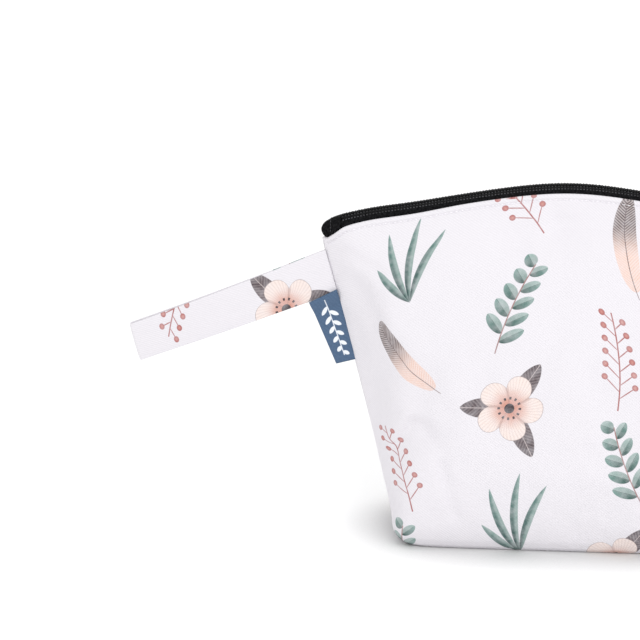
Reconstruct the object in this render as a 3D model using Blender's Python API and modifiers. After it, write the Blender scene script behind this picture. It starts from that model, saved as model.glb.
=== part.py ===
"""A zip-top toiletry bag with a boxed base, a wrist strap and a side label.

Metres, +Z up. The front faces -Y and the zip runs along X. The origin is the
middle of the base, on the surface that the bag stands on.
"""

import math
from collections import namedtuple

import bmesh
import bpy
from mathutils import Matrix, Vector

# Driving sizes of the bag
TOP_WIDTH = 0.286        # between the side seams, at the rim
BASE_WIDTH = 0.198       # between the side seams, at the base, before its corners are rounded
BAG_DEPTH = 0.090        # at its fullest
CREST_HEIGHT = 0.2102    # top of the zip in the middle
CREST_FALL = 0.0230      # how much lower its straight run is at the side seams
CREST_SOFTNESS = 0.035   # half length of the rounded top in the middle
END_CURL = 0.0062        # how far the last of the zip bends down
CURL_LENGTH = 0.014
CORNER_RADIUS = 0.0080   # lower corners, seen from the front
WAIST = 0.0014           # how far the side seams bow in at half height
CLOTH = 0.0015
GAP = 0.0003             # clearance between pieces that touch

# Driving sizes of the zip
RIM_DROP = 0.0030        # from the crest down to the cloth's folded edge
RIM_END_DROP = 0.0044    # how much deeper the edge lies at the side seams
RIM_END_LENGTH = 0.034
ZIP_LEAN = 0.08          # rise of the zip from front to back, per metre across it
COIL_WIDTH = 0.0052
COIL_THICKNESS = 0.0022
COIL_SIDES = 10
TAPE = 0.0010
TAPE_SHOWN = 0.0040      # width of tape between the coil and the folded edge
TAPE_STEP = 0.0008       # how far the coil stands above the tape
TAPE_TUCK = 0.012        # how far the tape runs down inside the cloth
TUCK_GAP = 0.0008        # between the tucked tape and the cloth
TAPE_INSET = 0.0075      # from the tape's end to the side seam
COIL_INSET = 0.0110      # from the coil's end to the side seam
END_THICKNESS = 0.0050   # of the folded tape ends
SLIDER_INSET = 0.026     # from the slider's middle to the right side seam
SLIDER_LENGTH = 0.0105
SLIDER_WALL = 0.0013
SLIDER_NOSE = 0.0022     # rounding of its corners, seen from above
BRIDGE_LENGTH = 0.0064   # of the arch that carries the pull
BRIDGE_WIDTH = 0.0020
PULL_LENGTH = 0.020
PULL_ROUNDING = 0.0031   # of its ends, seen from above
PULL_WIDTH = 0.0070
PULL_THICKNESS = 0.0014

# Driving sizes of the wrist strap and the label
STRAP_DROP = 0.0051      # from the top of the seam down to the strap's upper edge
STRAP_WIDTH = 0.0252     # along the seam
STRAP_LENGTH = 0.1250
STRAP_FALL = math.radians(21.4)   # how far the strap dips below level
STRAP_SAG = 0.0006       # bow of the strap's length under its own weight
STRAP_TWIST = math.radians(15.0)
STRAP_END_LEAN = math.radians(11.5)  # of the far fold, from upright
STRAP_SETTLE = 0.3       # share of the length by which it has its own shape, free of the seam
STRAP_CLOTH = 0.0016
STRAP_SLOT = 0.0008      # between the strap's two layers
LABEL_LENGTH = 0.0425    # along the seam
LABEL_TOP_WIDTH = 0.0172
LABEL_FOOT_WIDTH = 0.0112
LABEL_THICKNESS = 0.0014
LABEL_DIP = math.radians(12.0)    # the label's edges dip this much below square to the seam

# How finely the cloth is cut into faces
SIDE_STEPS = 32          # faces across the front, and as many across the back
BAND_STEPS = 2           # rows of faces between two sections
ZIP_STEPS = 44
STRAP_STEPS = 14
FOLD_STEPS = 6           # faces round the strap's far fold
WIDTH_STEPS = 4          # faces across the strap
END_STEPS = 5            # points along each edge of a folded tape end

FRONT, BACK = -1, 1
RIM_DEPTH = COIL_WIDTH + 2 * (GAP + TAPE_SHOWN + TAPE / 2 + TUCK_GAP + CLOTH)

# Sections of the cloth, from the base to the rim.
# height: share of the way up to the rim
# depth: share of half the bag's depth
# ridge: from the side seam in to the ridge of the front, share of the half width there
# bulge: power of the side between seam and ridge, 1 where it is flat and less where it is full
# crisp: power of the ridge, higher where it is sharper
Section = namedtuple("Section", "height depth ridge bulge crisp")
SECTIONS = (
    Section(0.000, 0.760, 0.046, 0.36, 5.0),
    Section(0.012, 0.860, 0.048, 0.36, 5.0),
    Section(0.035, 0.930, 0.056, 0.38, 5.0),
    Section(0.090, 0.985, 0.085, 0.45, 4.5),
    Section(0.190, 1.000, 0.140, 0.56, 4.2),
    Section(0.330, 0.965, 0.205, 0.70, 4.8),
    Section(0.480, 0.860, 0.250, 0.88, 5.2),
    Section(0.650, 0.690, 0.200, 0.94, 5.0),
    Section(0.800, 0.500, 0.160, 1.00, 4.5),
    Section(0.920, 0.310, 0.100, 1.00, 4.0),
    Section(1.000, RIM_DEPTH / BAG_DEPTH, 0.076, 1.00, 4.0),
)

# Creases and dents in the cloth, each a soft valley between two places on one face.
# across: share of the half width, -1 at the left seam and 1 at the right one
# up: share of the way up to the rim
# width: share of the top width
# depth: share of the bag's depth, inwards
Fold = namedtuple("Fold", "face across up to_across to_up width depth")
FOLDS = (
    Fold(FRONT, -0.97, 0.32, -0.66, 0.45, 0.034, 0.050),
    Fold(FRONT, -0.72, 0.47, -0.66, 0.53, 0.040, 0.026),
    Fold(FRONT, -0.92, 0.82, -0.88, 0.56, 0.030, 0.026),
    Fold(FRONT, -0.97, 0.95, -0.80, 0.84, 0.016, 0.018),
    Fold(FRONT, -0.26, 0.88, -0.06, 0.90, 0.050, 0.030),
    Fold(FRONT, 0.97, 0.24, 0.68, 0.38, 0.034, 0.036),
    Fold(FRONT, 0.93, 0.80, 0.86, 0.58, 0.032, 0.026),
    Fold(FRONT, 0.30, 0.87, 0.52, 0.84, 0.050, 0.020),
    Fold(BACK, -0.96, 0.26, -0.70, 0.40, 0.036, 0.036),
    Fold(BACK, -0.92, 0.80, -0.84, 0.56, 0.032, 0.026),
    Fold(BACK, 0.10, 0.88, 0.36, 0.86, 0.055, 0.026),
    Fold(BACK, 0.96, 0.34, 0.70, 0.46, 0.036, 0.040),
    Fold(BACK, 0.93, 0.82, 0.86, 0.60, 0.030, 0.024),
)
# The folds fade out over these shares of the height, towards the base and the rim
BASE_FADE = (0.03, 0.12)
RIM_FADE = (0.90, 0.99)
LEAN_FADE = (0.80, 1.00)

# How a tape bends from the coil's level down to the folded edge.
# out: share of the way out
# down: share of the way down
Bend = namedtuple("Bend", "out down")
TAPE_BENDS = (
    Bend(0.00, 0.00),
    Bend(0.50, 0.08),
    Bend(0.86, 0.42),
)
# Where it then runs inside the cloth, shares of its tuck below the rim
TAPE_TUCKS = (0.05, 0.50, 1.00)


def smooth_column(rows, column, height):
    """A column of the section table at any height, without overshoot between rows."""
    heights = [row.height for row in rows]
    values = [getattr(row, column) for row in rows]
    slopes = [
        (values[i + 1] - values[i]) / (heights[i + 1] - heights[i])
        for i in range(len(rows) - 1)
    ]

    def tangent(i):
        if i == 0:
            return slopes[0]
        if i == len(rows) - 1:
            return slopes[-1]
        if slopes[i - 1] * slopes[i] <= 0.0:
            return 0.0
        return 2.0 * slopes[i - 1] * slopes[i] / (slopes[i - 1] + slopes[i])

    i = max(k for k in range(len(rows) - 1) if heights[k] <= height or k == 0)
    span = heights[i + 1] - heights[i]
    u = (height - heights[i]) / span
    return (
        (2 * u**3 - 3 * u**2 + 1) * values[i]
        + (u**3 - 2 * u**2 + u) * span * tangent(i)
        + (3 * u**2 - 2 * u**3) * values[i + 1]
        + (u**3 - u**2) * span * tangent(i + 1)
    )


def smooth_step(low, high, value):
    u = min(1.0, max(0.0, (value - low) / (high - low)))
    return u * u * (3.0 - 2.0 * u)


def crest(x):
    """Height of the zip's crest above the base at x."""
    half = TOP_WIDTH / 2
    run = math.hypot(half, CREST_SOFTNESS) - CREST_SOFTNESS
    fall = CREST_FALL * (math.hypot(x, CREST_SOFTNESS) - CREST_SOFTNESS) / run
    curl = max(0.0, (abs(x) - half + CURL_LENGTH) / CURL_LENGTH) ** 2
    return CREST_HEIGHT - fall - END_CURL * curl


def rim_height(x):
    """Height of the cloth's folded edge."""
    half = TOP_WIDTH / 2
    deeper = max(0.0, (abs(x) - half + RIM_END_LENGTH) / RIM_END_LENGTH) ** 2
    return crest(x) - RIM_DROP - RIM_END_DROP * deeper


def half_width(height, z):
    """Half the width between the side seams, at a share of the height and its z."""
    half = (BASE_WIDTH + (TOP_WIDTH - BASE_WIDTH) * height) / 2
    short = max(0.0, CORNER_RADIUS - z)
    corner = CORNER_RADIUS - math.sqrt(CORNER_RADIUS**2 - short**2)
    return half - corner - WAIST * math.sin(math.pi * height)


def fold_depth(face, across, height):
    """How far the folds push the cloth in at this place."""
    total = 0.0
    for fold in FOLDS:
        if fold.face != face:
            continue
        half = TOP_WIDTH / 2
        start = Vector((fold.across * half, fold.up * CREST_HEIGHT))
        end = Vector((fold.to_across * half, fold.to_up * CREST_HEIGHT))
        here = Vector((across * half, height * CREST_HEIGHT))
        run = end - start
        along = min(1.0, max(0.0, (here - start).dot(run) / run.length_squared))
        away = (here - start - run * along).length
        total += fold.depth * BAG_DEPTH * math.exp(-((away / (fold.width * TOP_WIDTH)) ** 2))
    return total * smooth_step(*BASE_FADE, height) * (1.0 - smooth_step(*RIM_FADE, height))


def body_point(face, across, height):
    """A point of the cloth's outer side."""
    x = across * half_width(height, height * rim_height(TOP_WIDTH / 2))
    ridge = smooth_column(SECTIONS, "ridge", height)
    bulge = smooth_column(SECTIONS, "bulge", height)
    crisp = smooth_column(SECTIONS, "crisp", height)
    side = (max(0.0, 1.0 - abs(across)) / ridge) ** bulge
    full = side / (1.0 + side**crisp) ** (1.0 / crisp)
    depth = smooth_column(SECTIONS, "depth", height) * BAG_DEPTH / 2
    y = face * full * (depth - fold_depth(face, across, height))
    z = height * rim_height(across * TOP_WIDTH / 2)
    return Vector((x, y, z + ZIP_LEAN * y * smooth_step(*LEAN_FADE, height)))


def across_steps():
    """Places across a face, closer together near the side seams."""
    for i in range(SIDE_STEPS + 1):
        even = 2.0 * i / SIDE_STEPS - 1.0
        yield (even + math.sin(even * math.pi / 2)) / 2


def height_steps():
    """Heights of the rows of faces, some between each two sections."""
    for low, high in zip(SECTIONS, SECTIONS[1:]):
        for i in range(BAND_STEPS):
            yield low.height + (high.height - low.height) * i / BAND_STEPS
    yield SECTIONS[-1].height


def material(name, colour, roughness, metallic=0.0):
    made = bpy.data.materials.new(name)
    made.use_nodes = True
    shader = made.node_tree.nodes["Principled BSDF"]
    shader.inputs["Base Color"].default_value = (*colour, 1.0)
    shader.inputs["Roughness"].default_value = roughness
    shader.inputs["Metallic"].default_value = metallic
    made.diffuse_color = (*colour, 1.0)
    return made


def add_object(name, data, collection, finish):
    made = bpy.data.objects.new(name, data)
    data.materials.append(finish)
    collection.objects.link(made)
    return made


def grid_mesh(name, rows, closed=False, floor=False):
    """A mesh from rows of points, each row open or closed, the first one filled if asked."""
    mesh = bmesh.new()
    verts = [[mesh.verts.new(point) for point in row] for row in rows]
    for lower, upper in zip(verts, verts[1:]):
        count = len(lower)
        for i in range(count if closed else count - 1):
            j = (i + 1) % count
            mesh.faces.new((lower[i], lower[j], upper[j], upper[i]))
    if floor:
        mesh.faces.new(list(reversed(verts[0])))
    data = bpy.data.meshes.new(name)
    mesh.to_mesh(data)
    mesh.free()
    data.shade_smooth()
    return data


def thicken(thing, thickness, offset):
    solid = thing.modifiers.new("thickness", "SOLIDIFY")
    solid.thickness = thickness
    solid.offset = offset
    solid.use_even_offset = True


def bag_body(collection, finish):
    """One cut of cloth: a loft from the flat base up to the open rim, given its thickness."""
    places = list(across_steps())
    rows = []
    for height in height_steps():
        front = [body_point(FRONT, across, height) for across in places[:-1]]
        back = [body_point(BACK, across, height) for across in reversed(places[1:])]
        rows.append(front + back)
    body = add_object("bag_body", grid_mesh("bag_body", rows, True, True), collection, finish)
    thicken(body, CLOTH, -1.0)


def zip_stations(inset):
    """Places along the zip, closer together near its ends."""
    reach = TOP_WIDTH / 2 - inset
    for i in range(ZIP_STEPS + 1):
        even = 2.0 * i / ZIP_STEPS - 1.0
        yield reach * (even + math.sin(even * math.pi / 2)) / 2


def inside_point(face, across, height, inwards):
    """A point this far in from the cloth's outer side, square to it."""
    here = body_point(face, across, height)
    step = 0.002             # share of the width or height, for the surface's slope
    along = body_point(face, across + step, height) - body_point(face, across - step, height)
    down = here - body_point(face, across, height - step)
    return here - face * down.cross(along).normalized() * inwards


def tape_profile(face, x):
    """Middle line of a tape across the zip, from the coil out and down inside the cloth."""
    across = x / (TOP_WIDTH / 2)
    inwards = CLOTH + TUCK_GAP + TAPE / 2
    start = Vector((x, face * (COIL_WIDTH / 2 + GAP), crest(x) - TAPE_STEP - TAPE / 2))
    start.z += ZIP_LEAN * start.y
    edge = inside_point(face, across, 1.0, inwards)
    for out, down in TAPE_BENDS:
        yield Vector((
            x + (edge.x - x) * out,
            start.y + (edge.y - start.y) * out,
            start.z + (edge.z - start.z) * down,
        ))
    for share in TAPE_TUCKS:
        yield inside_point(face, across, 1.0 - share * TAPE_TUCK / rim_height(x), inwards)


def zip_tape(name, face, collection, finish):
    rows = [list(tape_profile(face, x)) for x in zip_stations(TAPE_INSET)]
    tape = add_object(name, grid_mesh(name, rows), collection, finish)
    thicken(tape, TAPE, 0.0)


def zip_coil(collection, finish):
    """The closed coil, one oval bar along the crest."""
    rows = []
    for x in zip_stations(COIL_INSET):
        row = []
        for i in range(COIL_SIDES):
            turn = 2.0 * math.pi * i / COIL_SIDES
            y = math.cos(turn) * COIL_WIDTH / 2
            z = crest(x) + (math.sin(turn) - 1.0) * COIL_THICKNESS / 2
            row.append(Vector((x, y, z + ZIP_LEAN * y)))
        rows.append(row)
    data = grid_mesh("zip_coil", rows, True)
    mesh = bmesh.new()
    mesh.from_mesh(data)
    bmesh.ops.holes_fill(mesh, edges=[edge for edge in mesh.edges if edge.is_boundary])
    bmesh.ops.recalc_face_normals(mesh, faces=mesh.faces)
    mesh.to_mesh(data)
    mesh.free()
    add_object("zip_coil", data, collection, finish)


def flat_outline(name, points, thickness):
    """A flat piece with this outline in the XZ plane, half its thickness to each side of y 0."""
    curve = bpy.data.curves.new(name, "CURVE")
    curve.dimensions = "2D"
    curve.fill_mode = "BOTH"
    curve.extrude = thickness / 2
    spline = curve.splines.new("POLY")
    spline.points.add(len(points) - 1)
    for slot, (x, z) in zip(spline.points, points):
        slot.co = (x, z, 0.0, 1.0)
    spline.use_cyclic_u = True
    return curve


def zip_end(name, side, collection, finish):
    """The tape's end folded down over the corner and stitched."""
    half = TOP_WIDTH / 2
    inner = half - TAPE_INSET + GAP
    outer = half - GAP
    upper, lower = [], []
    for i in range(END_STEPS + 1):
        share = i / END_STEPS
        x = inner + (outer - inner) * share
        round_off = math.sqrt(1.0 - share**4)
        low = rim_height(x) + GAP + ZIP_LEAN * END_THICKNESS / 2
        high = crest(x) - TAPE_STEP
        upper.append((side * x, low + (high - low) * round_off))
        lower.append((side * x, low))
    outline = upper[:-1] + list(reversed(lower))
    end = add_object(name, flat_outline(name, outline, END_THICKNESS), collection, finish)
    end.rotation_euler.x = math.pi / 2


def block(name, size, middle, rounding, collection):
    """A block whose upright edges are rounded."""
    mesh = bmesh.new()
    bmesh.ops.create_cube(mesh, size=1.0)
    bmesh.ops.scale(mesh, vec=size, verts=mesh.verts)
    upright = [edge for edge in mesh.edges if edge.verts[0].co.z != edge.verts[1].co.z]
    bmesh.ops.bevel(mesh, geom=upright, offset=rounding, segments=4, profile=0.5, affect="EDGES")
    bmesh.ops.translate(mesh, vec=middle, verts=mesh.verts)
    data = bpy.data.meshes.new(name)
    mesh.to_mesh(data)
    mesh.free()
    made = bpy.data.objects.new(name, data)
    collection.objects.link(made)
    return made


def combine(target, other, operation):
    step = target.modifiers.new(operation.lower(), "BOOLEAN")
    step.operation = operation
    step.solver = "EXACT"
    step.object = other
    other.hide_render = True
    other.display_type = "WIRE"


def zip_slider(collection, cutters, finish):
    """Slider and pull in one, over the coil near the right end."""
    x = TOP_WIDTH / 2 - SLIDER_INSET
    slope = math.atan2(crest(x + SLIDER_LENGTH / 2) - crest(x - SLIDER_LENGTH / 2), SLIDER_LENGTH)
    inside = COIL_WIDTH + 2.0 * GAP
    outside = inside + 2.0 * SLIDER_WALL
    top = GAP + SLIDER_WALL
    foot = GAP - TAPE_STEP
    bridge_height = PULL_THICKNESS + SLIDER_WALL
    body = block("zip_slider", (SLIDER_LENGTH, outside, top - foot),
                 (0.0, 0.0, (top + foot) / 2), SLIDER_NOSE, collection)
    body.data.materials.append(finish)
    channel = block("slider_channel", (SLIDER_LENGTH + 2.0 * SLIDER_WALL, inside, TAPE_STEP * 2),
                    (0.0, 0.0, GAP - TAPE_STEP), GAP, cutters)
    bridge = block("slider_bridge", (BRIDGE_LENGTH, BRIDGE_WIDTH, bridge_height + SLIDER_WALL / 2),
                   (0.0, 0.0, top + (bridge_height - SLIDER_WALL / 2) / 2), BRIDGE_WIDTH / 3, cutters)
    pull = block("slider_pull", (PULL_LENGTH, PULL_WIDTH, PULL_THICKNESS),
                 (PULL_LENGTH / 2, 0.0, top + PULL_THICKNESS / 2 + GAP), PULL_ROUNDING, cutters)
    combine(body, channel, "DIFFERENCE")
    combine(body, bridge, "UNION")
    combine(body, pull, "UNION")
    place = (
        Matrix.Translation((x, 0.0, crest(x)))
        @ Matrix.Rotation(-slope, 4, "Y")
        @ Matrix.Rotation(math.atan(ZIP_LEAN), 4, "X")
    )
    for piece in (body, channel, bridge, pull):
        piece.matrix_world = place


def seam_point(z):
    """The left side seam at height z."""
    height = z / rim_height(TOP_WIDTH / 2)
    return Vector((-half_width(height, z), 0.0, z))


def strap_seam(width_share):
    """Where the strap leaves the seam, from its upper edge down to its lower one."""
    return seam_point(rim_height(TOP_WIDTH / 2) - STRAP_DROP - STRAP_WIDTH * width_share)


def strap_point(share, width_share, side):
    """A point of the strap's middle layer: along it, down its width, and on which layer."""
    along = Vector((-math.cos(STRAP_FALL), 0.0, -math.sin(STRAP_FALL)))
    seam = (strap_seam(1.0) - strap_seam(0.0)).normalized()
    far = Vector((math.sin(STRAP_END_LEAN), 0.0, -math.cos(STRAP_END_LEAN)))
    turn = Matrix.Rotation(-STRAP_TWIST * smooth_step(0.0, 1.0, share), 3, along)
    down = turn @ seam.lerp(far, share).normalized()
    out = along.cross(down).normalized()
    straight = strap_seam(0.5) + down * (width_share - 0.5) * STRAP_WIDTH
    start = strap_seam(width_share).lerp(straight, smooth_step(0.0, STRAP_SETTLE, share))
    point = start + along * (GAP + STRAP_LENGTH * share)
    point.z -= STRAP_SAG * math.sin(math.pi * share)
    slot = GAP + (STRAP_SLOT - GAP) * smooth_step(0.0, STRAP_SETTLE, share)
    return point + out * side * (slot + STRAP_CLOTH) / 2


def wrist_strap(collection, finish):
    """A strip folded back on itself, both ends at the seam."""
    far = 1.0 - (STRAP_SLOT + STRAP_CLOTH) / 2 / STRAP_LENGTH
    stations = [(far * i / STRAP_STEPS, 1.0) for i in range(STRAP_STEPS + 1)]
    for i in range(1, FOLD_STEPS):
        turn = math.pi * i / FOLD_STEPS
        stations.append((far + (1.0 - far) * math.sin(turn), math.cos(turn)))
    stations += [(far * i / STRAP_STEPS, -1.0) for i in reversed(range(STRAP_STEPS + 1))]
    rows = [
        [strap_point(share, k / WIDTH_STEPS, side) for k in range(WIDTH_STEPS + 1)]
        for share, side in stations
    ]
    strap = add_object("wrist_strap", grid_mesh("wrist_strap", rows), collection, finish)
    thicken(strap, STRAP_CLOTH, 0.0)


def label_tab(collection, finish):
    """A folded ribbon in the seam, straight under the strap."""
    top = seam_point(strap_seam(1.0).z - 2.0 * GAP)
    foot = seam_point(top.z - LABEL_LENGTH)
    seam = (foot - top).normalized()
    square = Vector((seam.z, 0.0, -seam.x))
    dip = Matrix.Rotation(-LABEL_DIP, 3, "Y") @ square
    clear = square * GAP
    corners = (top + clear, top + clear + dip * LABEL_TOP_WIDTH,
               foot + clear + square * LABEL_FOOT_WIDTH, foot + clear)
    curve = flat_outline("label_tab", [(corner.x, corner.z) for corner in corners], LABEL_THICKNESS)
    label = add_object("label_tab", curve, collection, finish)
    label.rotation_euler.x = math.pi / 2


def main():
    for old in list(bpy.data.objects):
        bpy.data.objects.remove(old)
    bag = bpy.data.collections.new("toiletry_bag")
    cutters = bpy.data.collections.new("cutters")
    bpy.context.scene.collection.children.link(bag)
    bpy.context.scene.collection.children.link(cutters)
    cloth = material("printed_white_cloth", (0.86, 0.85, 0.87), 0.85)
    nylon = material("black_zip_nylon", (0.012, 0.012, 0.014), 0.55)
    enamel = material("black_enamel", (0.015, 0.015, 0.017), 0.35, 0.6)
    ribbon = material("blue_ribbon", (0.12, 0.19, 0.33), 0.70)
    bag_body(bag, cloth)
    zip_tape("zip_tape_front", FRONT, bag, nylon)
    zip_tape("zip_tape_back", BACK, bag, nylon)
    zip_coil(bag, nylon)
    zip_end("zip_end_left", -1, bag, nylon)
    zip_end("zip_end_right", 1, bag, nylon)
    zip_slider(bag, cutters, enamel)
    wrist_strap(bag, cloth)
    label_tab(bag, ribbon)


main()
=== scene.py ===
"""The looks of a zip-top toiletry bag: printed white twill, a black coil zip, a wrist strap and a side label.

Metres, +Z up, the front faces -Y. The forms repeat the named sizes of the CAD part, and the fine
pieces stand where its plain solids are. Print and weave are worked out in millimetres of flat cloth.
"""

import math
from collections import namedtuple

import bmesh
import bpy
import numpy as np
from mathutils import Matrix, Vector, noise


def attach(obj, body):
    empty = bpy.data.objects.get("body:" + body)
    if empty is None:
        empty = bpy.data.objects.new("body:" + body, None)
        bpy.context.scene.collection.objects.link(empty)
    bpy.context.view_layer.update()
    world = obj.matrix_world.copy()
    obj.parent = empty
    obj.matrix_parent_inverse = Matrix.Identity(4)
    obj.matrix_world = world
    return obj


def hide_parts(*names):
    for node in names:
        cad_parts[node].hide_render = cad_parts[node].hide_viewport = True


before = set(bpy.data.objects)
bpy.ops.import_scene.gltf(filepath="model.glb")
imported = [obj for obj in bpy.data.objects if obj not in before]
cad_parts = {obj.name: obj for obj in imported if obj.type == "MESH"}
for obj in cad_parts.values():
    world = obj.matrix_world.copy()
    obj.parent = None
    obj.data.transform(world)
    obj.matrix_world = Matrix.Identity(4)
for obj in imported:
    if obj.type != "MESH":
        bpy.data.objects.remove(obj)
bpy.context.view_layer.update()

# Sizes of the bag, as the CAD part has them
TOP_WIDTH = 0.286
BASE_WIDTH = 0.198
BAG_DEPTH = 0.090
CREST_HEIGHT = 0.2102
CREST_FALL = 0.0230
CREST_SOFTNESS = 0.035
END_CURL = 0.0062
CURL_LENGTH = 0.014
CORNER_RADIUS = 0.0080
WAIST = 0.0014
CLOTH = 0.0015
GAP = 0.0003
RIM_DROP = 0.0030
RIM_END_DROP = 0.0044
RIM_END_LENGTH = 0.034
ZIP_LEAN = 0.08
COIL_WIDTH = 0.0052
COIL_THICKNESS = 0.0022
TAPE = 0.0010
TAPE_SHOWN = 0.0040
TAPE_STEP = 0.0008
TAPE_TUCK = 0.012
TUCK_GAP = 0.0008
TAPE_INSET = 0.0075
COIL_INSET = 0.0110
END_THICKNESS = 0.0050
STRAP_DROP = 0.0051
STRAP_WIDTH = 0.0252
STRAP_LENGTH = 0.1250
STRAP_FALL = math.radians(21.4)
STRAP_SAG = 0.0006
STRAP_TWIST = math.radians(15.0)
STRAP_END_LEAN = math.radians(11.5)
STRAP_SETTLE = 0.3
STRAP_CLOTH = 0.0016
STRAP_SLOT = 0.0008
LABEL_LENGTH = 0.0425
LABEL_TOP_WIDTH = 0.0172
LABEL_FOOT_WIDTH = 0.0112
LABEL_THICKNESS = 0.0014
LABEL_DIP = math.radians(12.0)
FRONT, BACK = -1, 1
HALF = TOP_WIDTH / 2
RIM_DEPTH = COIL_WIDTH + 2 * (GAP + TAPE_SHOWN + TAPE / 2 + TUCK_GAP + CLOTH)

# Sections of the cloth from the base to the rim, as the CAD part has them
Section = namedtuple("Section", "height depth ridge bulge crisp")
SECTIONS = (
    Section(0.000, 0.760, 0.046, 0.36, 5.0),
    Section(0.012, 0.860, 0.048, 0.36, 5.0),
    Section(0.035, 0.930, 0.056, 0.38, 5.0),
    Section(0.090, 0.985, 0.085, 0.45, 4.5),
    Section(0.190, 1.000, 0.140, 0.56, 4.2),
    Section(0.330, 0.965, 0.205, 0.70, 4.8),
    Section(0.480, 0.860, 0.250, 0.88, 5.2),
    Section(0.650, 0.690, 0.200, 0.94, 5.0),
    Section(0.800, 0.500, 0.160, 1.00, 4.5),
    Section(0.920, 0.310, 0.100, 1.00, 4.0),
    Section(1.000, RIM_DEPTH / BAG_DEPTH, 0.076, 1.00, 4.0),
)
# Creases and dents, as the CAD part has them; the first lies a little lower here
Fold = namedtuple("Fold", "face across up to_across to_up width depth")
FOLDS = (
    Fold(FRONT, -0.99, 0.235, -0.72, 0.365, 0.032, 0.068),
    Fold(FRONT, -0.72, 0.47, -0.66, 0.53, 0.040, 0.026),
    Fold(FRONT, -0.92, 0.82, -0.88, 0.56, 0.030, 0.026),
    Fold(FRONT, -0.97, 0.95, -0.80, 0.84, 0.016, 0.018),
    Fold(FRONT, -0.26, 0.88, -0.06, 0.90, 0.050, 0.030),
    Fold(FRONT, 0.97, 0.24, 0.68, 0.38, 0.034, 0.036),
    Fold(FRONT, 0.93, 0.80, 0.86, 0.58, 0.032, 0.026),
    Fold(FRONT, 0.30, 0.87, 0.52, 0.84, 0.050, 0.020),
    Fold(BACK, -0.96, 0.26, -0.70, 0.40, 0.036, 0.036),
    Fold(BACK, -0.92, 0.80, -0.84, 0.56, 0.032, 0.026),
    Fold(BACK, 0.10, 0.88, 0.36, 0.86, 0.055, 0.026),
    Fold(BACK, 0.96, 0.34, 0.70, 0.46, 0.036, 0.040),
    Fold(BACK, 0.93, 0.82, 0.86, 0.60, 0.030, 0.024),
)
# Finer wrinkles, which the plain solid doesn't have
WRINKLES = (
    Fold(FRONT, -0.91, 0.28, -0.77, 0.385, 0.017, 0.036),
    Fold(FRONT, -0.66, 0.35, -0.58, 0.42, 0.030, 0.022),
    Fold(FRONT, -0.91, 0.81, -0.86, 0.71, 0.024, 0.024),
    Fold(FRONT, -0.86, 0.67, -0.79, 0.57, 0.024, 0.028),
    Fold(FRONT, -0.64, 0.26, -0.60, 0.12, 0.020, 0.014),
    Fold(FRONT, -0.04, 0.925, 0.42, 0.930, 0.026, 0.030),
    Fold(FRONT, 0.82, 0.28, 0.60, 0.46, 0.024, 0.036),
    Fold(BACK, 0.80, 0.26, 0.58, 0.44, 0.024, 0.040),
    Fold(BACK, -0.86, 0.66, -0.78, 0.56, 0.024, 0.028),
    Fold(BACK, -0.10, 0.925, -0.45, 0.930, 0.026, 0.026),
)
BASE_FADE = (0.03, 0.12)
RIM_FADE = (0.90, 0.99)
LEAN_FADE = (0.80, 1.00)

# Sewing and the lie of the cloth, which the plain solids don't have
HEM = 0.0026             # from the cloth's folded edge down to its row of stitches
STITCH = 0.0030          # from one stitch to the next
THREAD = 0.00045         # across a sewing thread
COIL_PITCH = 0.00125     # from one turn of the coil to the next
TAPE_STITCH = 0.0018     # from one stitch on the tapes to the next
STRAP_CUT = 0.020        # where in the print the strap's strip was cut
WIRE = 0.00034           # radius of the coil's wire
HEADS_PAST = 0.00035     # how far the turns' heads reach past the coil's middle
COIL_CLEAR = 0.00015     # how much each half stands in from the plain solid's side
END_SEAM = 0.0052        # from the bag's side to the stitches over the tape end
RIBBON = 0.0005
LABEL_LAP = 0.0016       # how far its top edge lies over the strap's lower edge
LABEL_LIFT = 0.0026      # how far that part stands forward, clear of the strap
BASE_FULLNESS = 0.115    # how much fuller the cloth folds at the floor than the plain solid
FULLNESS_FADE = 0.012    # the share of the height over which that fades
CORNER_LIFT = 0.0026     # how much higher the folded edge hangs at the very corner
FLOOR_ROWS = 9           # rows of points from the base's middle to its fold
SEAM_DIP = 0.00035
INTO_SEAM = 0.008        # share of the strap's length that lies inside the seam
LABEL_INTO_SEAM = 0.06   # share of the label's width that lies inside the seam
# Ridges and grooves: the depth, where its middle is and the width
Relief = namedtuple("Relief", "depth middle width")
ZIP_SWELL = Relief(0.0010, -0.80 * HALF, 0.13 * HALF)
RIM_SAGS = (Relief(0.0015, 0.950, 0.035), Relief(0.0009, 0.62, 0.14))
ROLLED_EDGE = Relief(0.00022, 0.0011, 0.0010)
HEM_GROOVE = Relief(0.00075, HEM, 0.00060)
HEM_VALLEY = Relief(0.0009, 0.0078, 0.0050)
BOX_SEAM = Relief(0.0005, 0.0040, 0.0006)
TAPE_RIDGE = Relief(0.00016, 0.0005, 0.0004)
STRAP_GROOVE = Relief(0.00016, 0.0022 / STRAP_WIDTH, 0.0006 / STRAP_WIDTH)
# Puckers that the stitches draw, as waves: length over two pi, depth and start
RIM_PUCKERS = ((0.0017, 0.000060, 0.0), (0.0029, 0.000120, 1.3), (0.0071, 0.000096, 0.4))
SEAM_PUCKERS = ((0.0016, 0.00004, 0.0), (0.0031, 0.00008, 0.7), (0.0083, 0.00008, 2.0))
# Soft unevenness of the walls: depth, size and start
UNEVEN = ((0.0018, 0.045, 7.0), (0.0006, 0.018, 31.0))


def smooth_step(low, high, value):
    u = np.clip((value - low) / (high - low), 0.0, 1.0)
    return u * u * (3.0 - 2.0 * u)


def bump(middle, width, value):
    return np.exp(-(((value - middle) / width) ** 2))


def relief(shape, value):
    """How deep a ridge or groove is at these places."""
    return shape.depth * bump(shape.middle, shape.width, value)


def waves(parts, place):
    return sum(depth * np.sin(place / length + start) for length, depth, start in parts)


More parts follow.
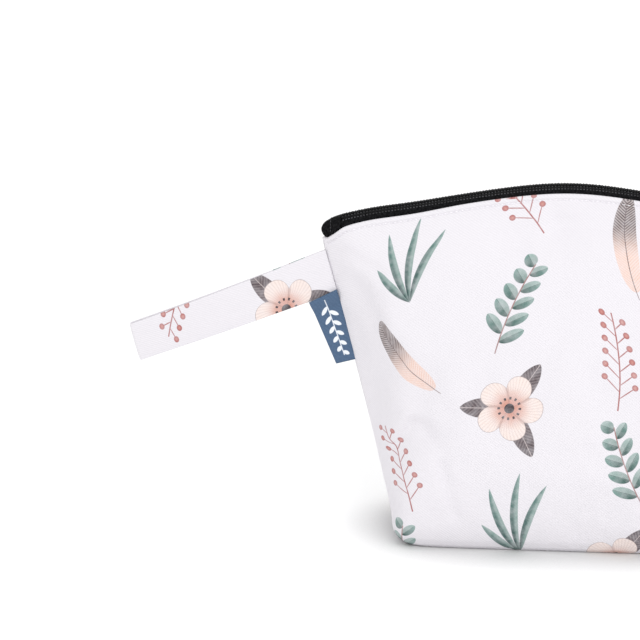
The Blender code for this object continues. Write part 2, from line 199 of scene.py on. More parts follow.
def boxier(turning, power):
    """A sine or cosine bent so that a round section turns boxier."""
    return np.sign(turning) * np.abs(turning) ** power


def section_column(column, height):
    """A column of the section table at these heights, without overshoot between rows."""
    at = np.array([row.height for row in SECTIONS])
    values = np.array([getattr(row, column) for row in SECTIONS])
    slopes = np.diff(values) / np.diff(at)
    product = slopes[:-1] * slopes[1:]
    total = np.where(product > 0.0, slopes[:-1] + slopes[1:], 1.0)
    inner = np.where(product > 0.0, 2.0 * product / total, 0.0)
    tangents = np.concatenate(([slopes[0]], inner, [slopes[-1]]))
    i = np.clip(np.searchsorted(at, height, side="right") - 1, 0, len(SECTIONS) - 2)
    span = at[i + 1] - at[i]
    u = (height - at[i]) / span
    return (
        (2 * u**3 - 3 * u**2 + 1) * values[i]
        + (u**3 - 2 * u**2 + u) * span * tangents[i]
        + (3 * u**2 - 2 * u**3) * values[i + 1]
        + (u**3 - u**2) * span * tangents[i + 1]
    )


def crest(x):
    """Height of the zip's crest above the base at x."""
    run = math.hypot(HALF, CREST_SOFTNESS) - CREST_SOFTNESS
    fall = CREST_FALL * (np.hypot(x, CREST_SOFTNESS) - CREST_SOFTNESS) / run
    curl = np.maximum(0.0, (np.abs(x) - HALF + CURL_LENGTH) / CURL_LENGTH) ** 2
    return CREST_HEIGHT - fall - END_CURL * curl


def zip_line(x):
    """Height of the zip's top as it lies here: a little fuller than the plain solid before its left corner."""
    return crest(x) + relief(ZIP_SWELL, x)


def rim_height(x):
    """Height of the cloth's folded edge."""
    deeper = np.maximum(0.0, (np.abs(x) - HALF + RIM_END_LENGTH) / RIM_END_LENGTH) ** 2
    return crest(x) - RIM_DROP - RIM_END_DROP * deeper


SEAM_HEIGHT = float(rim_height(HALF))


def rim_sag(x):
    """How much lower the folded edge hangs than the plain solid's; it hangs higher at the very corner."""
    share = np.abs(x) / HALF
    return sum(relief(sag, share) for sag in RIM_SAGS) - CORNER_LIFT * smooth_step(0.975, 1.0, share)


def half_width(height, z):
    short = np.maximum(0.0, CORNER_RADIUS - z)
    corner = CORNER_RADIUS - np.sqrt(CORNER_RADIUS**2 - short**2)
    half = (BASE_WIDTH + (TOP_WIDTH - BASE_WIDTH) * height) / 2
    return half - corner - WAIST * np.sin(np.pi * height)


def fold_depth(face, across, height):
    total = np.zeros(np.broadcast(across, height).shape)
    for fold in FOLDS + WRINKLES:
        if fold.face != face:
            continue
        start = np.array((fold.across * HALF, fold.up * CREST_HEIGHT))
        run = np.array((fold.to_across * HALF, fold.to_up * CREST_HEIGHT)) - start
        dx = across * HALF - start[0]
        dz = height * CREST_HEIGHT - start[1]
        along = np.clip((dx * run[0] + dz * run[1]) / (run @ run), 0.0, 1.0)
        away = np.hypot(dx - run[0] * along, dz - run[1] * along)
        total += fold.depth * BAG_DEPTH * bump(0.0, fold.width * TOP_WIDTH, away)
    return total * smooth_step(*BASE_FADE, height) * (1.0 - smooth_step(*RIM_FADE, height))


def body_points(face, across, height):
    """Points of the cloth's outer side, for arrays of places."""
    across, height = np.broadcast_arrays(np.asarray(across, float), np.asarray(height, float))
    side = np.maximum(0.0, 1.0 - np.abs(across)) / section_column("ridge", height)
    side = side ** section_column("bulge", height)
    crisp = section_column("crisp", height)
    full = side / (1.0 + side**crisp) ** (1.0 / crisp)
    depth = section_column("depth", height) * BAG_DEPTH / 2
    x = across * half_width(height, height * SEAM_HEIGHT)
    y = face * full * (depth - fold_depth(face, across, height))
    z = height * rim_height(across * HALF) + ZIP_LEAN * y * smooth_step(*LEAN_FADE, height)
    return np.stack((x, y, z), axis=-1)


def length_of(vectors):
    return np.linalg.norm(vectors, axis=-1, keepdims=True)


def unit(vectors):
    return vectors / np.maximum(length_of(vectors), 1e-12)


def run_of(line):
    """How far along a line of points each of them is."""
    return np.concatenate(([0.0], np.cumsum(length_of(np.diff(line, axis=0)))))


def point_at(place, run, points):
    """The point this far along a line of points."""
    return np.array([np.interp(place, run, points[:, k]) for k in range(3)])


def square_to(points):
    """Unit vectors square to a grid of points."""
    along = np.gradient(points, axis=1)
    up = np.gradient(points, axis=0)
    return unit(np.cross(along, up))


def ride_as(piece, node):
    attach(piece, "root")
    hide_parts(node)
    return piece


def mesh_piece(name, verts, faces, finish, flat=None):
    """A piece from points and faces; flat is each point's place on the flat cloth in millimetres."""
    mesh = bpy.data.meshes.new(name)
    mesh.from_pydata([tuple(point) for point in verts], [], faces)
    if flat is not None:
        places = mesh.attributes.new("flat_mm", "FLOAT_VECTOR", "POINT")
        padded = np.zeros((len(verts), 3), np.float32)
        padded[:, :flat.shape[1]] = flat
        places.data.foreach_set("vector", padded.ravel())
    mesh.validate()
    mesh.shade_smooth()
    mesh.materials.append(finish)
    piece = bpy.data.objects.new(name, mesh)
    bpy.context.scene.collection.objects.link(piece)
    return piece


def grid_faces(rows, columns, wrap_rows=False, wrap_columns=False):
    """Quads over a grid of points numbered row by row."""
    r = np.arange(rows if wrap_rows else rows - 1)[:, None]
    c = np.arange(columns if wrap_columns else columns - 1)[None, :]
    r2 = (r + 1) % rows
    c2 = (c + 1) % columns
    corners = np.broadcast_arrays(r * columns + c, r * columns + c2, r2 * columns + c2, r2 * columns + c)
    return np.stack(corners, -1).reshape(-1, 4).tolist()


def loft(name, rows, finish, flat=None):
    """A piece from closed rows of points, one behind the other, with its two ends filled."""
    count, columns = rows.shape[:2]
    faces = grid_faces(count, columns, wrap_columns=True)
    faces.append(list(reversed(range(columns))))
    faces.append([(count - 1) * columns + i for i in range(columns)])
    flat = None if flat is None else flat.reshape(-1, flat.shape[-1])
    return mesh_piece(name, rows.reshape(-1, 3), faces, finish, flat)


def repeated(name, shape, places, finish):
    """One shape at many places, each a 4 by 4 matrix, as one mesh."""
    verts, faces = shape
    count = len(verts)
    ends = np.concatenate((verts, np.ones((count, 1))), axis=1)
    points = np.einsum("nij,vj->nvi", np.array(places), ends)[..., :3].reshape(-1, 3)
    every = [[i + k * count for i in face] for k in range(len(places)) for face in faces]
    return mesh_piece(name, points, every, finish)


def bead(length, width, rise, rings=6, sides=8):
    """A thread's visible run, lying along X: full in the middle and dipping at both ends."""
    verts = [(-length / 2, 0.0, -rise)]
    for i in range(1, rings):
        turn = math.pi * i / rings
        radius = math.sin(turn) ** 0.5
        for k in range(sides):
            angle = 2.0 * math.pi * k / sides
            verts.append((
                -math.cos(turn) * length / 2,
                math.cos(angle) * radius * width / 2,
                math.sin(angle) * radius * width / 2 - rise * (1.0 - math.sin(turn)),
            ))
    verts.append((length / 2, 0.0, -rise))
    faces = []
    for k in range(sides):
        after = (k + 1) % sides
        faces.append((0, 1 + after, 1 + k))
        for i in range(rings - 2):
            low = 1 + i * sides
            faces.append((low + k, low + after, low + sides + after, low + sides + k))
        low = 1 + (rings - 2) * sides
        faces.append((low + k, low + after, len(verts) - 1))
    return np.array(verts), faces


def placing(point, along, out):
    """A matrix that puts X along a seam and Z out of the cloth."""
    along = unit(np.asarray(along, float))
    side = unit(np.cross(out, along))
    placed = np.eye(4)
    placed[:3] = np.stack((along, side, np.cross(along, side), point), axis=1)
    return placed


def tube(path, radius, sides):
    """Rings of points round a path, for a loft."""
    tangent = unit(np.gradient(path, axis=0))
    first = unit(np.array((1.0, 0.0, 0.0)) - tangent * tangent[:, :1])
    second = np.cross(tangent, first)
    angle = 2.0 * np.pi * np.arange(sides) / sides
    ring = first[:, None] * np.cos(angle)[None, :, None] + second[:, None] * np.sin(angle)[None, :, None]
    return path[:, None] + ring * radius


def ripple(points, size, start):
    """Soft unevenness, about -1 to 1, over an array of points."""
    flat = points.reshape(-1, 3) / size + start
    values = [noise.fractal(Vector(point), 0.9, 2.0, 2) for point in flat]
    return np.array(values).reshape(points.shape[:-1])


# Materials

CLOTH_LIT = "#e6e3e7"
CLOTH_SHADED = "#dad7dc"
INK_EDGE = 0.30          # millimetres over which a printed edge fades
CELL_WIDTH = 64.0        # of the print's half-drop repeat, millimetres
CELL_HEIGHT = 64.0
DRAWN_CELL = 57.0        # the width of the cell that the motifs are drawn for


def shade(colour):
    """An sRGB hex colour as linear light."""
    parts = [int(colour[i:i + 2], 16) / 255 for i in (1, 3, 5)]
    return (*(p / 12.92 if p <= 0.04045 else ((p + 0.055) / 1.055) ** 2.4 for p in parts), 1.0)


def add(tree, kind, *inputs, **settings):
    """Adds a node with its settings, and values or links into its sockets; gives its first output."""
    node = tree.nodes.new("ShaderNode" + kind)
    for name, value in settings.items():
        setattr(node, name, value)
    named = inputs[0].items() if inputs and isinstance(inputs[0], dict) else enumerate(inputs)
    for socket, value in named:
        if isinstance(value, bpy.types.NodeSocket):
            tree.links.new(value, node.inputs[socket])
        else:
            node.inputs[socket].default_value = value
    return node.outputs[0]


def finish_of(name, colour, roughness, **shader):
    """A material with a plain shader, for the finish to fill in: the material, its nodes and the shader."""
    made = bpy.data.materials.new(name)
    made.use_nodes = True
    principled = made.node_tree.nodes["Principled BSDF"]
    principled.inputs["Base Color"].default_value = shade(colour)
    principled.inputs["Roughness"].default_value = roughness
    for socket, value in shader.items():
        principled.inputs[socket.replace("_", " ")].default_value = value
    return made, made.node_tree, principled


def fill(tree, shader, **sockets):
    """Links what drives these sockets of the shader."""
    for socket, value in sockets.items():
        tree.links.new(value, shader.inputs[socket.replace("_", " ")])


def tint(tree, tone, share, strength, colour):
    """A tone with part of a colour laid over it."""
    share = add(tree, "Math", share, strength, operation="MULTIPLY")
    return add(tree, "MixRGB", share, tone, shade(colour))


def printed(tree, inside):
    """Where a shape is printed, from how far inside its edge a place is."""
    return add(tree, "Math", inside, INK_EDGE, operation="DIVIDE", use_clamp=True)


def round_middle(tree, x, y):
    """The angle from Y and the distance from the middle."""
    angle = add(tree, "Math", x, y, operation="ARCTAN2")
    square = add(tree, "Math", add(tree, "Math", x, x, operation="MULTIPLY"),
                 add(tree, "Math", y, y, operation="MULTIPLY"), operation="ADD")
    return angle, add(tree, "Math", square, operation="SQRT")


def blade(tree, angle, far, number, step):
    """How far along and across one leaf of a fan a place is; the leaves are a step apart."""
    off = add(tree, "Math", number, -step, angle, operation="MULTIPLY_ADD")
    across = add(tree, "Math", far, add(tree, "Math", off, operation="SINE"), operation="MULTIPLY")
    along = add(tree, "Math", far, add(tree, "Math", off, operation="COSINE"), operation="MULTIPLY")
    return along, across


def sprig(tree, x, y, spacing, lean, length, count, bow):
    """Leaves set by turns to each side of a bent stem that rises along Y from its foot.

    For the nearest leaf: how far along its midrib a place is, its distance from the midrib and
    the leaf's length; and the distance from the stem.
    """
    rise, reach = math.sin(lean), math.cos(lean)
    step = spacing * rise
    x = add(tree, "Math", add(tree, "Math", y, y, operation="MULTIPLY"), -bow, x, operation="MULTIPLY_ADD")
    side = add(tree, "Math", x, operation="SIGN")
    away = add(tree, "Math", x, operation="ABSOLUTE")
    y = add(tree, "Math", side, spacing / 4, y, operation="MULTIPLY_ADD")
    up = add(tree, "Math", y, rise, operation="MULTIPLY")
    slant = add(tree, "Math", away, -reach, up, operation="MULTIPLY_ADD")
    number = add(tree, "Math", add(tree, "Math", slant, step, operation="DIVIDE"), operation="FLOOR")
    number = add(tree, "Clamp", number, 0.0, count - 1.0)
    across = add(tree, "Math", number, -step, slant, operation="MULTIPLY_ADD")
    across = add(tree, "Math", across, step / 2, operation="SUBTRACT")
    up = add(tree, "Math", y, reach, operation="MULTIPLY")
    along = add(tree, "Math", away, rise, up, operation="MULTIPLY_ADD")
    along = add(tree, "Math", number, -spacing * reach, along, operation="MULTIPLY_ADD")
    along = add(tree, "Math", along, spacing * reach / 2, operation="SUBTRACT")
    long = add(tree, "Math", number, -0.45 * length / count, length, operation="MULTIPLY_ADD")
    return along, across, long, away


def leaf(tree, along, across, long, width, fullness):
    """Where a leaf is printed, and the share of its length there."""
    share = add(tree, "Math", along, long, operation="DIVIDE", use_clamp=True)
    left = add(tree, "Math", 1.0, share, operation="SUBTRACT")
    body = add(tree, "Math", add(tree, "Math", share, left, operation="MULTIPLY"), 4.0, operation="MULTIPLY")
    body = add(tree, "Math", add(tree, "Math", body, fullness, operation="POWER"), width, operation="MULTIPLY")
    off = add(tree, "Math", across, operation="ABSOLUTE")
    return printed(tree, add(tree, "Math", body, off, operation="SUBTRACT")), share


def stem(tree, away, y, width, foot, top):
    """Where a stem is printed."""
    inside = printed(tree, add(tree, "Math", width / 2, away, operation="SUBTRACT"))
    middle = add(tree, "Math", y, (foot + top) / 2, (top - foot) / 2, operation="COMPARE")
    return add(tree, "Math", inside, middle, operation="MULTIPLY")


def over(tree, ink, mask, more_ink, more_mask):
    """One ink printed over another: the colour and where there is any."""
    colour = add(tree, "MixRGB", more_mask, ink, more_ink)
    return colour, add(tree, "Math", mask, more_mask, operation="MAXIMUM")


def round_leaf_sprig(tree, x, y):
    y = add(tree, "Math", y, 25.0, operation="ADD")
    along, across, long, away = sprig(
        tree, x, y, spacing=9.0, lean=math.radians(52), length=13.5, count=5, bow=0.0035)
    mask, share = leaf(tree, along, across, long, width=3.1, fullness=0.55)
    tone = add(tree, "MixRGB", share, shade("#304a46"), shade("#7b9993"))
    half = add(tree, "Math", across, 1.2, 0.5, operation="MULTIPLY_ADD", use_clamp=True)
    tone = tint(tree, tone, half, 0.45, "#bccac7")
    rib = add(tree, "Math", across, 0.0, 0.16, operation="COMPARE")
    tone = tint(tree, tone, rib, 0.5, "#2e4441")
    return over(tree, tone, mask, shade("#9a6b68"), stem(tree, away, y, width=0.9, foot=-4.0, top=44.0))


def berry_spray(tree, x, y):
    berry_radius = 1.75
    y = add(tree, "Math", y, 24.0, operation="ADD")
    along, across, long, away = sprig(
        tree, x, y, spacing=7.0, lean=math.radians(48), length=10.5, count=6, bow=-0.004)
    stalk, _ = leaf(tree, along, across, long, width=0.42, fullness=0.2)
    twig = add(tree, "Math", stalk, stem(tree, away, y, width=1.0, foot=-5.0, top=45.0), operation="MAXIMUM")
    beyond = add(tree, "Math", along, long, operation="SUBTRACT")
    _, spot = round_middle(tree, beyond, across)
    berry = printed(tree, add(tree, "Math", berry_radius, spot, operation="SUBTRACT"))
    glow = add(tree, "Math", spot, berry_radius, operation="DIVIDE", use_clamp=True)
    tone = add(tree, "MixRGB", glow, shade("#c88f86"), shade("#9c5253"))
    return over(tree, shade("#a25d5a"), twig, tone, berry)


def feather(tree, x, y):
    x = add(tree, "Math", add(tree, "Math", y, y, operation="MULTIPLY"), -0.006, x, operation="MULTIPLY_ADD")
    high = add(tree, "Math", y, 24.0, operation="ADD")
    mask, share = leaf(tree, high, x, 50.0, width=6.4, fullness=0.42)
    away = add(tree, "Math", x, operation="ABSOLUTE")
    barb = add(tree, "Math", away, -0.85, y, operation="MULTIPLY_ADD")
    streak = add(tree, "Math", add(tree, "Math", barb, 4.2, operation="MULTIPLY"), operation="SINE")
    streak = add(tree, "Math", streak, 0.5, 0.5, operation="MULTIPLY_ADD")
    dark = add(tree, "MapRange", {"Value": share, "From Min": 0.34, "From Max": 0.72},
               interpolation_type="SMOOTHSTEP")
    tone = add(tree, "MixRGB", dark, shade("#dfc0b4"), shade("#514549"))
    tone = tint(tree, tone, streak, 0.5, "#eadfdb")
    return over(tree, tone, mask, shade("#66585a"), stem(tree, away, y, width=0.7, foot=-28.0, top=20.0))


def grass_fan(tree, x, y):
    step = 0.36
    y = add(tree, "Math", y, 25.0, operation="ADD")
    angle, far = round_middle(tree, x, y)
    angle = add(tree, "Math", far, -0.0060, angle, operation="MULTIPLY_ADD")
    number = add(tree, "Math", add(tree, "Math", angle, step, operation="DIVIDE"), operation="ROUND")
    number = add(tree, "Clamp", number, -2.0, 1.0)
    along, across = blade(tree, angle, far, number, step)
    long = add(tree, "Math", add(tree, "Math", number, number, operation="MULTIPLY"), -5.0, 47.0,
               operation="MULTIPLY_ADD")
    mask, share = leaf(tree, along, across, long, width=2.2, fullness=0.75)
    tone = add(tree, "MixRGB", share, shade("#2c4343"), shade("#65857f"))
    edge = add(tree, "Math", across, 0.8, 0.4, operation="MULTIPLY_ADD", use_clamp=True)
    return tint(tree, tone, edge, 0.6, "#9fb4af"), mask


def blossom(tree, x, y):
    angle, far = round_middle(tree, x, y)
    # Five petals
    fifth = 2.0 * math.pi / 5
    turned = add(tree, "Math", far, 0.012, angle, operation="MULTIPLY_ADD")
    petal = add(tree, "Math", turned, fifth / 2, operation="PINGPONG")
    petal = add(tree, "Math", petal, fifth / 2, operation="DIVIDE")
    notch = add(tree, "Math", add(tree, "Math", petal, 2.4, operation="POWER"), 6.5, operation="MULTIPLY")
    reach = add(tree, "Math", 17.5, notch, operation="SUBTRACT")
    inside = add(tree, "Math", reach, far, operation="SUBTRACT")
    flower = printed(tree, inside)
    blush = add(tree, "MapRange", {"Value": far, "From Min": 2.0, "From Max": 13.0},
                interpolation_type="SMOOTHSTEP")
    tone = add(tree, "MixRGB", blush, shade("#cc9484"), shade("#e9dad4"))
    vein = add(tree, "Math", add(tree, "Math", turned, 55.0, operation="MULTIPLY"), operation="SINE")
    vein = add(tree, "Math", vein, 0.10, 0.06, operation="MULTIPLY_ADD", use_clamp=True)
    tone = add(tree, "MixRGB", vein, tone, shade("#86706f"))
    fold = add(tree, "MapRange", {"Value": petal, "From Min": 0.80, "From Max": 1.0})
    tone = tint(tree, tone, fold, 0.55, "#9c7b74")
    line = add(tree, "Math", inside, 0.0, 0.42, operation="COMPARE")
    tone = tint(tree, tone, line, 0.6, "#746262")
    # Stamens round a dark heart
    spoke = add(tree, "Math", add(tree, "Math", angle, 12.0, operation="MULTIPLY"), operation="COSINE")
    spoke = add(tree, "Math", spoke, 0.35, operation="GREATER_THAN")
    ring = add(tree, "Math", far, 5.4, 0.7, operation="COMPARE")
    heart = add(tree, "Math", add(tree, "Math", far, 2.6, operation="LESS_THAN"),
                add(tree, "Math", spoke, ring, operation="MULTIPLY"), operation="MAXIMUM")
    tone = add(tree, "MixRGB", heart, tone, shade("#433a3d"))
    # Three dark leaves behind
    third = 2.0 * math.pi / 3
    number = add(tree, "Math", add(tree, "Math", angle, third, operation="DIVIDE"), operation="ROUND")
    along, across = blade(tree, angle, far, number, third)
    long = add(tree, "Math", number, 1.5, 27.0, operation="MULTIPLY_ADD")
    behind, share = leaf(tree, along, across, long, width=5.4, fullness=0.7)
    dark = add(tree, "MixRGB", share, shade("#786c6f"), shade("#453b40"))
    rib = add(tree, "Math", across, 0.0, 0.2, operation="COMPARE")
    streak = add(tree, "Math", add(tree, "Math", across, operation="ABSOLUTE"), -1.0, along,
                 operation="MULTIPLY_ADD")
    streak = add(tree, "Math", add(tree, "Math", streak, 3.0, operation="MULTIPLY"), operation="SINE")
    streak = add(tree, "Math", streak, 0.18, 0.1, operation="MULTIPLY_ADD", use_clamp=True)
    rib = add(tree, "Math", rib, streak, operation="MAXIMUM")
    dark = add(tree, "MixRGB", rib, dark, shade("#b0a5a4"))
    return over(tree, dark, behind, tone, flower)


def tossed_print(tree, flat, ground):
    """A tossed half-drop print of five motifs, one to a cell, each turned its own way."""
    u = add(tree, "SeparateXYZ", flat)
    v = u.node.outputs["Y"]
    column = add(tree, "Math", add(tree, "Math", u, CELL_WIDTH, operation="DIVIDE"), operation="FLOOR")
    odd = add(tree, "Math", column, 2.0, operation="FLOORED_MODULO")
    v = add(tree, "Math", odd, CELL_HEIGHT / 2, v, operation="MULTIPLY_ADD")
    row = add(tree, "Math", add(tree, "Math", v, CELL_HEIGHT, operation="DIVIDE"), operation="FLOOR")
    x = add(tree, "Math", column, -CELL_WIDTH, u, operation="MULTIPLY_ADD")
    y = add(tree, "Math", row, -CELL_HEIGHT, v, operation="MULTIPLY_ADD")
    x, y = (add(tree, "Math", place, DRAWN_CELL / CELL_WIDTH, -DRAWN_CELL / 2, operation="MULTIPLY_ADD")
            for place in (x, y))
    chance = add(tree, "TexWhiteNoise", add(tree, "CombineXYZ", column, row), noise_dimensions="2D")
    turn = add(tree, "MapRange", {"Value": chance, "To Min": -0.75, "To Max": 0.75})
    turned = add(tree, "VectorRotate", {"Vector": add(tree, "CombineXYZ", x, y), "Angle": turn},
                 rotation_type="Z_AXIS")
    x = add(tree, "SeparateXYZ", turned)
    y = x.node.outputs["Y"]
    kind = add(tree, "Math", column, 2.0, row, operation="MULTIPLY_ADD")
    kind = add(tree, "Math", kind, 5.0, operation="FLOORED_MODULO")
    wash = add(tree, "TexNoise", {"Vector": flat, "Scale": 0.22, "Detail": 3.0})
    wash = add(tree, "MapRange", {"Value": wash, "From Min": 0.35, "From Max": 0.7, "To Max": 0.25})
    colour = ground
    for number, motif in enumerate((blossom, round_leaf_sprig, berry_spray, feather, grass_fan)):
        ink, mask = motif(tree, x, y)
        here = add(tree, "Math", kind, float(number), 0.5, operation="COMPARE")
        mask = add(tree, "Math", mask, here, operation="MULTIPLY")
        ink = add(tree, "MixRGB", wash, ink, ground)
        colour = add(tree, "MixRGB", mask, colour, ink)
    return colour


def slanted_lines(tree, flat, pitch, slope):
    """Ribs from 0 to 1, a pitch in millimetres apart, rising at a slope."""
    turns = 2.0 * math.pi / pitch
    way = (turns * math.sin(slope), turns * math.cos(slope), 0.0)
    wave = add(tree, "VectorMath", flat, way, operation="DOT_PRODUCT").node.outputs["Value"]
    return add(tree, "Math", add(tree, "Math", wave, operation="SINE"), 0.5, 0.5, operation="MULTIPLY_ADD")


def printed_twill(name):
    """Polyester twill, transfer printed: matt, very white, and the print lies in the fibre without a film."""
    made, tree, shader = finish_of(
        name, "#efecf1", 0.85, Sheen_Weight=0.12, Sheen_Roughness=0.4, Specular_IOR_Level=0.3)
    flat = add(tree, "Attribute", attribute_name="flat_mm").node.outputs["Vector"]
    # The real ribs are about 0.5 mm apart, too fine to show, so they are drawn at 1.3 mm
    ribs = slanted_lines(tree, flat, 1.3, math.radians(38))
    threads = add(tree, "TexNoise", {"Vector": flat, "Scale": 0.9, "Detail": 3.0, "Roughness": 0.6})
    ground = add(tree, "MixRGB", add(tree, "Math", ribs, threads, operation="MULTIPLY"),
                 shade(CLOTH_SHADED), shade(CLOTH_LIT))
    height = add(tree, "Math", threads, 1.4, ribs, operation="MULTIPLY_ADD")
    fill(tree, shader, Base_Color=tossed_print(tree, flat, ground),
         Normal=add(tree, "Bump", {"Height": height, "Strength": 0.16, "Distance": 0.0004}),
         Roughness=add(tree, "MapRange", {"Value": threads, "To Min": 0.78, "To Max": 0.92}))
    return made


def woven_tape(name):
    """Black polyester zip tape, woven in herringbone: matt and very dark, with barely a sheen on its ribs."""
    made, tree, shader = finish_of(name, "#101012", 0.75, Specular_IOR_Level=0.04)
    flat = add(tree, "Attribute", attribute_name="flat_mm").node.outputs["Vector"]
    x = add(tree, "SeparateXYZ", flat)
    bend = add(tree, "Math", x.node.outputs["Y"], 1.2, operation="PINGPONG")
    # Real ribs are 0.4 mm apart; these are 0.9 mm, so that a few pixels hold one
    wave = add(tree, "Math", add(tree, "Math", x, bend, operation="ADD"), 2.0 * math.pi / 0.9,
               operation="MULTIPLY")
    ribs = add(tree, "Math", add(tree, "Math", wave, operation="SINE"), 0.5, 0.5, operation="MULTIPLY_ADD")
    fibre = add(tree, "TexNoise", {"Vector": flat, "Scale": 0.9, "Detail": 3.0, "Roughness": 0.7})
    fibre = add(tree, "MapRange", {"Value": fibre, "From Min": 0.38, "From Max": 0.66})
    tone = add(tree, "Math", add(tree, "Math", ribs, 0.5, 0.5, operation="MULTIPLY_ADD"), fibre,
               operation="MULTIPLY")
    height = add(tree, "Math", fibre, 0.6, ribs, operation="MULTIPLY_ADD")
    fill(tree, shader, Base_Color=add(tree, "MixRGB", tone, shade("#010102"), shade("#28282a")),
         Normal=add(tree, "Bump", {"Height": height, "Strength": 0.5, "Distance": 0.0002}),
         Roughness=add(tree, "MapRange", {"Value": fibre, "To Min": 0.6, "To Max": 0.85}))
    return made


def nylon_wire(name):
    """Black nylon monofilament, drawn and heat set: a soft gloss with fine scuffs."""
    made, tree, shader = finish_of(name, "#0c0c0e", 0.38, IOR=1.53, Specular_IOR_Level=0.06)
    place = add(tree, "TexCoord").node.outputs["Object"]
    scuff = add(tree, "TexNoise", {"Vector": place, "Scale": 900.0, "Detail": 3.0})
    fill(tree, shader, Base_Color=add(tree, "MixRGB", scuff, shade("#020203"), shade("#0e0e10")),
         Roughness=add(tree, "MapRange", {"Value": scuff, "To Min": 0.26, "To Max": 0.55}))
    return made


def spun_thread(name, colour, glint_colour):
    """Spun polyester sewing thread: matt, its twist and fuzz break its tone, and the paler bands along the
    twist are a painted glint.
    """
    made, tree, shader = finish_of(name, colour, 0.72, Sheen_Weight=0.1)
    place = add(tree, "TexCoord").node.outputs["Object"]
    # Twisted about every 0.5 mm; the paler colour in these bands is a painted glint, the bump is the real twist
    twist = add(tree, "TexWave", {"Vector": place, "Scale": 310.0, "Distortion": 1.5, "Detail": 2.0},
                bands_direction="DIAGONAL")
    fill(tree, shader, Base_Color=add(tree, "MixRGB", twist, shade(colour), shade(glint_colour)),
         Normal=add(tree, "Bump", {"Height": twist, "Strength": 0.4, "Distance": 0.0001}))
    return made


def enamelled_zinc(name):
    """Die-cast zinc under black enamel: smooth and glossy, a little duller where fingers rub it."""
    made, tree, shader = finish_of(
        name, "#141416", 0.28, IOR=1.5, Specular_IOR_Level=0.35, Coat_Weight=0.15, Coat_Roughness=0.15)
    place = add(tree, "TexCoord").node.outputs["Object"]
    rub = add(tree, "TexNoise", {"Vector": place, "Scale": 260.0, "Detail": 4.0})
    fine = add(tree, "TexNoise", {"Vector": place, "Scale": 2400.0, "Detail": 2.0})
    fill(tree, shader, Base_Color=add(tree, "MixRGB", rub, shade("#0f0f11"), shade("#232326")),
         Normal=add(tree, "Bump", {"Height": fine, "Strength": 0.1, "Distance": 0.00005}),
         Roughness=add(tree, "MapRange", {"Value": rub, "To Min": 0.2, "To Max": 0.45}))
    return made


def jacquard_ribbon(name):
    """Satin ribbon woven blue with a white vine: fine ribs across it, and a slight sheen."""
    made, tree, shader = finish_of(name, "#4c6684", 0.55, Sheen_Weight=0.15, Specular_IOR_Level=0.4)
    flat = add(tree, "Attribute", attribute_name="flat_mm").node.outputs["Vector"]
    # The real ribs are 0.25 mm apart and these are 0.8 mm
    ribs = slanted_lines(tree, flat, 0.8, math.radians(8))
    warp = add(tree, "TexNoise", {"Vector": flat, "Scale": 2.2, "Detail": 3.0})
    ground = add(tree, "MixRGB", add(tree, "Math", ribs, warp, operation="MULTIPLY"),
                 shade("#36506f"), shade("#627c99"))
    x = add(tree, "SeparateXYZ", flat)
    y = add(tree, "Math", x.node.outputs["Y"], 5.5, operation="SUBTRACT")
    x = add(tree, "Math", x, add(tree, "Math", y, 0.075, -7.6, operation="MULTIPLY_ADD"), operation="ADD")
    along, across, long, away = sprig(
        tree, x, y, spacing=6.4, lean=math.radians(50), length=6.4, count=5, bow=0.0)
    mask, _ = leaf(tree, along, across, long, width=1.35, fullness=0.6)
    vine = add(tree, "Math", mask, stem(tree, away, y, width=0.8, foot=-3.0, top=33.0), operation="MAXIMUM")
    white = add(tree, "MixRGB", ribs, shade("#d9dfe8"), shade("#f2f4f7"))
    height = add(tree, "Math", vine, 1.5, ribs, operation="MULTIPLY_ADD")
    fill(tree, shader, Base_Color=add(tree, "MixRGB", vine, ground, white),
         Normal=add(tree, "Bump", {"Height": height, "Strength": 0.35, "Distance": 0.0002}))
    return made


def white_floor(name):
    """A matt white studio sweep; close under things, within a few centimetres, its colour is darkened by
    ambient occlusion, a painted contact shadow.
    """
    made, tree, shader = finish_of(name, "#ffffff", 1.0)
    # Painted shadow: the floor's base colour darkens near the bag by ambient occlusion, a painted contact
    # shadow.
    painted_contact_shadow = add(tree, "AmbientOcclusion", {"Distance": 0.050}, samples=8).node.outputs["AO"]
    painted_contact_shadow = add(tree, "MapRange", {"Value": painted_contact_shadow, "From Min": 0.53, "From Max": 0.89,
                                   "To Min": 0.68, "To Max": 0.99})
    fill(tree, shader, Base_Color=painted_contact_shadow)
    return made


